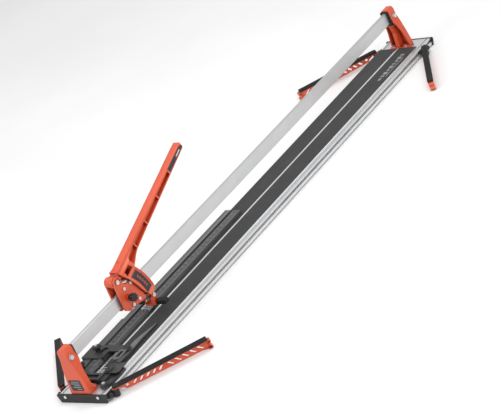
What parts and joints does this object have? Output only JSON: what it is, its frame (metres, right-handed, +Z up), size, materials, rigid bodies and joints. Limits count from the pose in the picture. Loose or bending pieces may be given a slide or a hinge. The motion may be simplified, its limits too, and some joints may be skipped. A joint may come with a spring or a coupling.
{
  "type": "tile cutter",
  "caption": "Long manual rail tile cutter: aluminium base with sprung tables, guide beam, rolling cutting and breaking lever, measuring fence and swing-out supports.",
  "frame": {"origin": "centre of the base's footprint on the floor plane", "axes": "+X along the cut, away from the carriage's parked end; +Y towards the measuring fence; +Z up"},
  "size_m": [1.9522, 0.5995, 0.3831],
  "materials": {
    "base_aluminium": "satin anodised",
    "bright_aluminium": "bright machined",
    "beam_aluminium": "satin anodised",
    "table_aluminium": "satin anodised",
    "black_plastic": "moulded, fine texture",
    "rubber": "matte",
    "mat_rubber": "matte, fine grain",
    "orange_paint": "semi-gloss powder coat",
    "zinc_steel": "zinc plated",
    "black_casting": "satin black coat",
    "fence_aluminium": "dark anodised",
    "scale_strip": "dark anodised, engraved",
    "silver_clip": "satin",
    "grey_lever": "satin",
    "panel_plastic": "matte",
    "carbide": "titanium nitride coated"
  },
  "bodies": {
    "base": {"base_extrusion": "base_aluminium", "breaking_bar": "bright_aluminium", "near_end_cap": "black_plastic", "far_end_cap": "black_plastic", "end_cap_screws": "zinc_steel", "rubber_feet": "rubber", "near_bracket": "orange_paint", "far_bracket": "orange_paint", "bracket_screws": "zinc_steel", "beam_clamp_bolts": "zinc_steel", "near_gasket": "black_plastic", "far_gasket": "black_plastic", "guide_beam": "beam_aluminium", "crossbar": "black_casting", "crossbar_screws": "zinc_steel", "support_blocks": "black_plastic", "support_pins": "zinc_steel", "support_screws": "black_plastic", "front_springs": "zinc_steel", "rear_springs": "zinc_steel"},
    "front_table": {"front_table": "table_aluminium", "front_mat": "mat_rubber"},
    "rear_table": {"rear_table": "table_aluminium", "rear_mat": "mat_rubber"},
    "carriage": {"carriage_front_plate": "orange_paint", "carriage_rear_plate": "orange_paint", "carriage_axles": "zinc_steel", "carriage_nuts": "zinc_steel", "pivot_bolt": "zinc_steel"},
    "upper_near_roller": {"upper_near_roller": "zinc_steel"},
    "upper_far_roller": {"upper_far_roller": "zinc_steel"},
    "lower_near_roller": {"lower_near_roller": "zinc_steel"},
    "lower_far_roller": {"lower_far_roller": "zinc_steel"},
    "lock_knob": {"lock_knob": "black_plastic"},
    "lever": {"lever": "orange_paint", "handle_inserts": "panel_plastic", "head_panels": "panel_plastic", "wheel_holder": "zinc_steel", "wheel_axle": "zinc_steel", "breaker_bolt": "zinc_steel"},
    "cutting_wheel": {"cutting_wheel": "carbide"},
    "breaker": {"breaker_bracket": "orange_paint", "breaker_bar": "rubber", "breaker_strip": "zinc_steel"},
    "fence": {"fence_bar": "fence_aluminium", "fence_scale": "scale_strip"},
    "fence_knob": {"fence_knob": "black_plastic"},
    "scale_slider": {"scale_slider": "silver_clip"},
    "stop_carrier": {"stop_carrier": "black_casting"},
    "stop_knob": {"stop_knob": "black_plastic"},
    "stop_cam": {"stop_cam": "grey_lever"},
    "front_stop": {"front_stop": "black_casting"},
    "near_front_support": {"near_front_arm": "orange_paint", "near_front_pad": "rubber"},
    "near_rear_support": {"near_rear_arm": "orange_paint", "near_rear_pad": "rubber"},
    "far_front_support": {"far_front_arm": "orange_paint", "far_front_pad": "rubber"},
    "far_rear_support": {"far_rear_arm": "orange_paint", "far_rear_pad": "rubber"}
  },
  "joints": [
    {"name": "carriage_slide", "type": "slide", "parent": "base", "child": "carriage", "axis": [1, 0, 0], "range_m": [-0.15, 1.42]},
    {"name": "upper_near_roll", "type": "hinge", "parent": "carriage", "child": "upper_near_roller", "pos_m": [-0.67, 0, 0.17525], "axis": [0, 1, 0], "range_deg": [-1700, 12000]},
    {"name": "upper_far_roll", "type": "hinge", "parent": "carriage", "child": "upper_far_roller", "pos_m": [-0.6382, 0, 0.17525], "axis": [0, 1, 0], "range_deg": [-1700, 12000]},
    {"name": "lower_near_roll", "type": "hinge", "parent": "carriage", "child": "lower_near_roller", "pos_m": [-0.662, 0, 0.11525], "axis": [0, 1, 0], "range_deg": [-6500, 950]},
    {"name": "lower_far_roll", "type": "hinge", "parent": "carriage", "child": "lower_far_roller", "pos_m": [-0.632, 0, 0.11525], "axis": [0, 1, 0], "range_deg": [-6500, 950]},
    {"name": "lock_knob_turn", "type": "hinge", "parent": "carriage", "child": "lock_knob", "pos_m": [-0.668, 0, 0.1445], "axis": [0, 1, 0], "range_deg": [-180, 180]},
    {"name": "lever_hinge", "type": "hinge", "parent": "carriage", "child": "lever", "pos_m": [-0.683, 0, 0.2065], "axis": [0, -1, 0], "range_deg": [-4, 8]},
    {"name": "wheel_spin", "type": "hinge", "parent": "lever", "child": "cutting_wheel", "pos_m": [-0.59098, 0, 0.08058], "axis": [0, 1, 0], "continuous": true},
    {"name": "breaker_hinge", "type": "hinge", "parent": "lever", "child": "breaker", "pos_m": [-0.57827, 0, 0.0901], "axis": [0, -1, 0], "range_deg": [0, 90]},
    {"name": "fence_swing", "type": "hinge", "parent": "base", "child": "fence", "pos_m": [-0.88, 0.054, 0.042], "axis": [0, 0, 1], "range_deg": [0, 45]},
    {"name": "fence_knob_turn", "type": "hinge", "parent": "fence", "child": "fence_knob", "pos_m": [-0.88, 0.054, 0.06], "axis": [0, 0, 1], "range_deg": [-180, 180]},
    {"name": "scale_slider_slide", "type": "slide", "parent": "fence", "child": "scale_slider", "axis": [1, 0, 0], "range_m": [-0.01, 0.49]},
    {"name": "stop_slide", "type": "slide", "parent": "fence", "child": "stop_carrier", "axis": [1, 0, 0], "range_m": [-0.012, 0.14]},
    {"name": "stop_knob_turn", "type": "hinge", "parent": "stop_carrier", "child": "stop_knob", "pos_m": [-0.8, 0.052, 0.06], "axis": [0, 0, 1], "range_deg": [-180, 180]},
    {"name": "stop_cam_swing", "type": "hinge", "parent": "stop_carrier", "child": "stop_cam", "pos_m": [-0.787, -0.047, 0.055], "axis": [0, 0, 1], "range_deg": [-60, 60]},
    {"name": "front_stop_swing", "type": "hinge", "parent": "base", "child": "front_stop", "pos_m": [-0.879, -0.048, 0.045], "axis": [0, 0, 1], "range_deg": [-45, 0]},
    {"name": "front_table_press", "type": "slide", "parent": "base", "child": "front_table", "axis": [0, 0, 1], "range_m": [-0.0035, 0], "stiffness_N_per_m": 16000, "springref_m": 0.004, "deforming": ["front_springs"]},
    {"name": "rear_table_press", "type": "slide", "parent": "base", "child": "rear_table", "axis": [0, 0, 1], "range_m": [-0.0035, 0], "stiffness_N_per_m": 16000, "springref_m": 0.004, "deforming": ["rear_springs"]},
    {"name": "near_front_fold", "type": "hinge", "parent": "base", "child": "near_front_support", "pos_m": [-0.937, -0.102, 0.02], "axis": [0, 0, -1], "range_deg": [-39, 50]},
    {"name": "near_rear_fold", "type": "hinge", "parent": "base", "child": "near_rear_support", "pos_m": [-0.937, 0.102, 0.02], "axis": [0, 0, 1], "range_deg": [-41, 48]},
    {"name": "far_front_fold", "type": "hinge", "parent": "base", "child": "far_front_support", "pos_m": [0.902, -0.102, 0.02], "axis": [0, 0, 1], "range_deg": [-34, 50]},
    {"name": "far_rear_fold", "type": "hinge", "parent": "base", "child": "far_rear_support", "pos_m": [0.902, 0.102, 0.02], "axis": [0, 0, -1], "range_deg": [-37, 50]}
  ],
  "couplings": [
    {"joint": "upper_near_roll", "follows": "carriage_slide", "rad_per_m": 142.86},
    {"joint": "upper_far_roll", "follows": "carriage_slide", "rad_per_m": 142.86},
    {"joint": "lower_near_roll", "follows": "carriage_slide", "rad_per_m": -76.923},
    {"joint": "lower_far_roll", "follows": "carriage_slide", "rad_per_m": -76.923}
  ]
}
